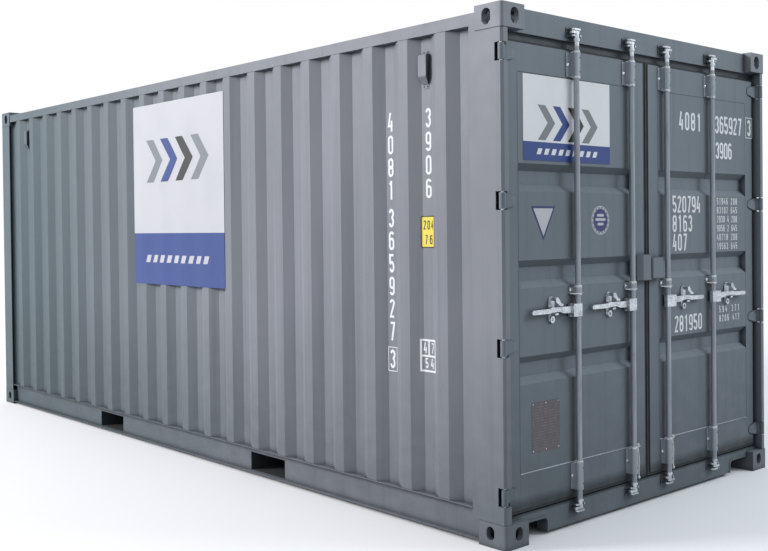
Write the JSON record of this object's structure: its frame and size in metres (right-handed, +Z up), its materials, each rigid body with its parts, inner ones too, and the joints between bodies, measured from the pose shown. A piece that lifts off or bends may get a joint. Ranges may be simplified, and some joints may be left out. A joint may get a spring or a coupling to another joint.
{
  "type": "shipping container",
  "caption": "Steel freight container with corrugated walls, ribbed roof, hollow corner castings and a pair of hinged end doors with turning locking bars.",
  "frame": {"origin": "centre of the footprint on the ground, under the bottom castings", "axes": "+X along the length towards the doors, +Y across to the right-hand side seen from the doors, +Z up"},
  "size_m": [6.058, 2.438, 2.591],
  "materials": {
    "container_paint": "satin",
    "casting_paint": "satin",
    "underside_coat": "matte",
    "zinc_gear": "satin",
    "door_rubber": "matte",
    "floor_plywood": "satin",
    "white_rope": "matte"
  },
  "bodies": {
    "box": {"rear_top_castings": "casting_paint", "rear_bottom_castings": "casting_paint", "front_top_castings": "casting_paint", "front_bottom_castings": "casting_paint", "rear_left_post": "container_paint", "rear_right_post": "container_paint", "front_posts": "container_paint", "hinge_pins": "zinc_gear", "top_side_rails": "container_paint", "bottom_side_rails": "container_paint", "door_header": "container_paint", "door_sill": "container_paint", "front_end_rails": "container_paint", "left_side_wall": "container_paint", "right_side_wall": "container_paint", "front_wall": "container_paint", "roof_panel": "container_paint", "cross_members": "underside_coat", "fork_pockets": "underside_coat", "floor_boards": "floor_plywood", "top_keepers": "zinc_gear", "bottom_keepers": "zinc_gear", "side_vents": "container_paint"},
    "left_door": {"left_door_frame": "container_paint", "left_door_panel": "container_paint", "left_door_gasket": "door_rubber", "left_door_hinges": "container_paint", "left_lock_box": "container_paint", "left_bar_brackets": "zinc_gear", "left_handle_catches": "zinc_gear", "left_tie_rope": "white_rope"},
    "right_door": {"right_door_frame": "container_paint", "right_door_panel": "container_paint", "right_door_gasket": "door_rubber", "right_door_hinges": "container_paint", "right_lock_box": "container_paint", "right_bar_brackets": "zinc_gear", "right_handle_catches": "zinc_gear", "right_tie_rope": "white_rope"},
    "bar_1": {"locking_bar_1": "zinc_gear"},
    "handle_1": {"bar_handle_1": "zinc_gear"},
    "bar_2": {"locking_bar_2": "zinc_gear"},
    "handle_2": {"bar_handle_2": "zinc_gear"},
    "bar_3": {"locking_bar_3": "zinc_gear"},
    "handle_3": {"bar_handle_3": "zinc_gear"},
    "bar_4": {"locking_bar_4": "zinc_gear"},
    "handle_4": {"bar_handle_4": "zinc_gear"}
  },
  "joints": [
    {"name": "left_door_hinge", "type": "hinge", "parent": "box", "child": "left_door", "pos_m": [3.008, -1.202, 0.16], "axis": [0, 0, -1], "range_deg": [0, 255]},
    {"name": "right_door_hinge", "type": "hinge", "parent": "box", "child": "right_door", "pos_m": [3.008, 1.202, 0.16], "axis": [0, 0, 1], "range_deg": [0, 255]},
    {"name": "bar_1_turn", "type": "hinge", "parent": "left_door", "child": "bar_1", "pos_m": [3.01, -0.64, 1.1], "axis": [0, 0, -1], "range_deg": [-110, 0]},
    {"name": "handle_1_lift", "type": "hinge", "parent": "bar_1", "child": "handle_1", "pos_m": [3.01, -0.68, 1.107], "axis": [-1, 0, 0], "range_deg": [0, 9]},
    {"name": "bar_2_turn", "type": "hinge", "parent": "left_door", "child": "bar_2", "pos_m": [3.01, -0.167, 1.1], "axis": [0, 0, -1], "range_deg": [-110, 0]},
    {"name": "handle_2_lift", "type": "hinge", "parent": "bar_2", "child": "handle_2", "pos_m": [3.01, -0.207, 1.107], "axis": [-1, 0, 0], "range_deg": [0, 9]},
    {"name": "bar_3_turn", "type": "hinge", "parent": "right_door", "child": "bar_3", "pos_m": [3.01, 0.167, 1.1], "axis": [0, 0, 1], "range_deg": [-110, 0]},
    {"name": "handle_3_lift", "type": "hinge", "parent": "bar_3", "child": "handle_3", "pos_m": [3.01, 0.207, 1.107], "axis": [1, 0, 0], "range_deg": [0, 9]},
    {"name": "bar_4_turn", "type": "hinge", "parent": "right_door", "child": "bar_4", "pos_m": [3.01, 0.64, 1.1], "axis": [0, 0, 1], "range_deg": [-110, 0]},
    {"name": "handle_4_lift", "type": "hinge", "parent": "bar_4", "child": "handle_4", "pos_m": [3.01, 0.68, 1.107], "axis": [1, 0, 0], "range_deg": [0, 9]}
  ]
}
